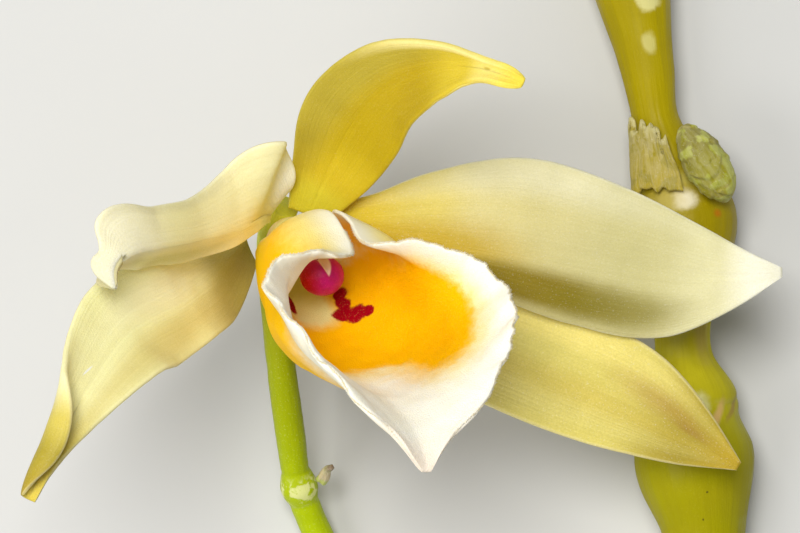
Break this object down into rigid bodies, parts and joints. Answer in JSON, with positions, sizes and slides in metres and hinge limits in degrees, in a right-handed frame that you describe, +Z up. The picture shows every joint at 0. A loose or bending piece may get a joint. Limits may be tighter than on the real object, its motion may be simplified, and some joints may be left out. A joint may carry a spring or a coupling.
{
  "type": "dendrobium orchid stem",
  "caption": "Cut orchid stem lying down: an open flower with a rolled trumpet lip, sepals and petals, on a curved stalk from a swollen-jointed leafless cane.",
  "frame": {"origin": "middle of the stem's overall box, on the surface that it lies on", "axes": "+Y along the cane towards its growing end, +Z up out of the surface and roughly the way the flower looks, +X from the flower towards the cane"},
  "size_m": [0.0648, 0.1032, 0.0492],
  "materials": {
    "dorsal_sepal": "satin, softly veined",
    "left_sepal": "satin, softly veined",
    "right_sepal": "satin, softly veined",
    "left_petal": "satin, softly veined",
    "right_petal": "satin, softly veined",
    "lip": "velvety, orange with a cream margin",
    "column": "waxy",
    "anther_cap": "waxy, crimson",
    "flower_stalk": "smooth, green",
    "stalk_bract": "dry at the tip",
    "cane": "waxy, olive yellow",
    "cane_sheath": "dry and papery",
    "side_bud": "scaly, green"
  },
  "bodies": {
    "root": {"dorsal_sepal": "dorsal_sepal", "left_sepal": "left_sepal", "right_sepal": "right_sepal", "left_petal": "left_petal", "right_petal": "right_petal", "lip": "lip", "column": "column", "anther_cap": "anther_cap", "flower_stalk": "flower_stalk", "stalk_bract": "stalk_bract", "cane": "cane", "cane_sheath": "cane_sheath", "side_bud": "side_bud"}
  },
  "joints": []
}
